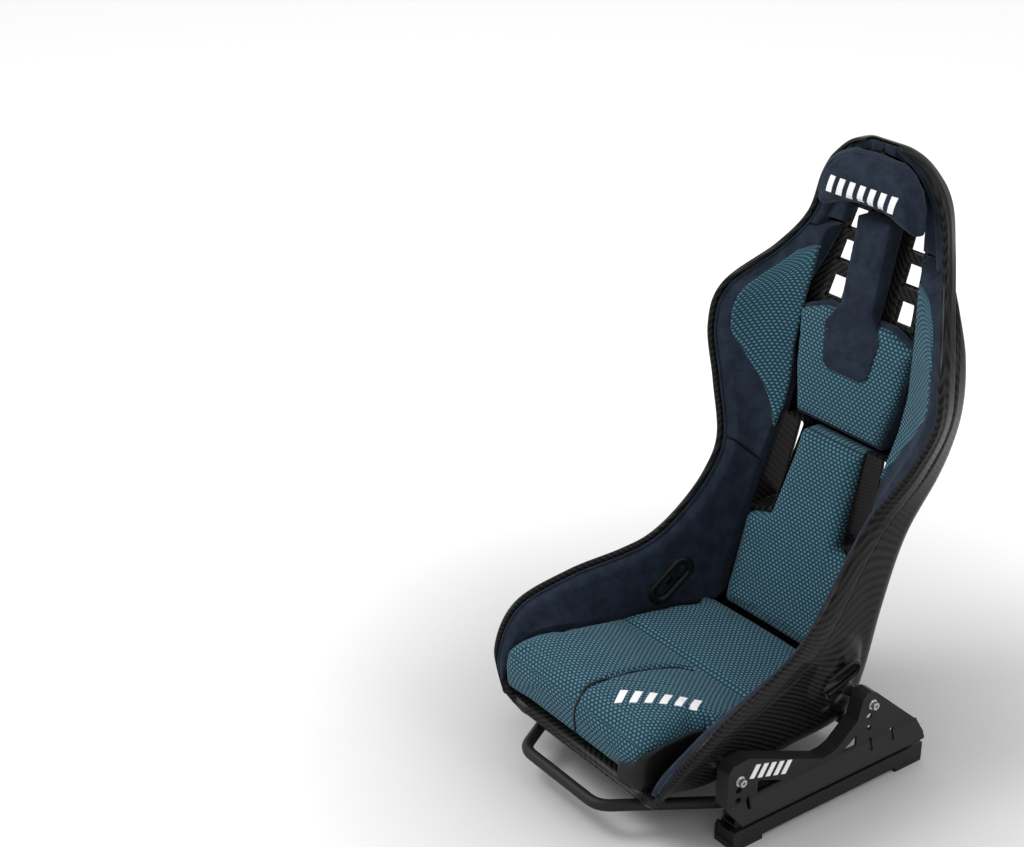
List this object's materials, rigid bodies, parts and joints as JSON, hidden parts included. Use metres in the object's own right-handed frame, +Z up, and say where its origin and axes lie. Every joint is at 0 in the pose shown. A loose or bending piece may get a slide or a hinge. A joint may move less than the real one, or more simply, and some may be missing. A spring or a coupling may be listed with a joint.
{
  "type": "racing bucket seat",
  "caption": "Fixed-back bucket seat with padded carbon shell, shoulder wings, belt slots, side mounts and a sliding rail base with lift bar.",
  "frame": {"origin": "centre of the four floor bolt holes, on the floor", "axes": "+Z up, the seat faces -Y, +X is the driver's left"},
  "size_m": [0.555, 0.707, 1.0218],
  "materials": {
    "carbon": "glossy clear coat over twill weave",
    "black_plastic": "satin",
    "nylon": "matt",
    "teal_knit": "dashed knit",
    "navy_suede": "mottled microfibre suede",
    "steel": "zinc plated",
    "black_metal": "satin black powder coat"
  },
  "bodies": {
    "floor_rails": {"rail_left": "black_metal", "rail_right": "black_metal", "rail_feet": "black_metal", "end_stops": "black_metal"},
    "seat_carriage": {"slider_left": "black_metal", "slider_right": "black_metal", "glide_shoes": "nylon", "cross_tube": "black_metal", "side_mount_left": "black_metal", "side_mount_right": "black_metal", "mount_screws": "steel", "seat_bolts": "steel", "bolt_washers": "steel", "seat_spacers": "black_metal", "seat_bosses": "steel", "shell": "carbon", "louver_left": "carbon", "louver_right": "carbon", "belt_guide_left": "black_plastic", "belt_guide_right": "black_plastic", "slot_frame_left": "black_plastic", "slot_frame_right": "black_plastic", "neck_pad_left": "navy_suede", "neck_pad_right": "navy_suede", "head_pad": "navy_suede", "spine_strip": "navy_suede", "upper_back_pad": "teal_knit", "lumbar_pad": "teal_knit", "seat_cushion": "teal_knit", "bolster_left": "navy_suede", "bolster_right": "navy_suede", "shoulder_pad_left": "navy_suede", "shoulder_pad_right": "navy_suede", "wing_insert_left": "teal_knit", "wing_insert_right": "teal_knit", "pad_fasteners": "nylon", "pivot_pins": "steel", "return_springs": "steel", "latch_guides": "black_metal"},
    "bar": {"release_bar": "black_metal"},
    "latch_l": {"latch_left": "steel"},
    "latch_r": {"latch_right": "steel"}
  },
  "joints": [
    {"name": "seat_slide", "type": "slide", "parent": "floor_rails", "child": "seat_carriage", "axis": [0, 1, 0], "range_m": [-0.096, 0.096]},
    {"name": "bar_lift", "type": "hinge", "parent": "seat_carriage", "child": "bar", "pos_m": [0, -0.04, 0.05], "axis": [-1, 0, 0], "range_deg": [0, 4], "stiffness_Nm_per_rad": 12, "springref_deg": -2.86},
    {"name": "latch_left_lift", "type": "slide", "parent": "seat_carriage", "child": "latch_l", "axis": [0, 0, 1], "range_m": [0, 0.006]},
    {"name": "latch_right_lift", "type": "slide", "parent": "seat_carriage", "child": "latch_r", "axis": [0, 0, 1], "range_m": [0, 0.006]}
  ],
  "couplings": [
    {"joint": "latch_left_lift", "follows": "bar_lift", "m_per_rad": 0.08},
    {"joint": "latch_right_lift", "follows": "bar_lift", "m_per_rad": 0.08}
  ]
}
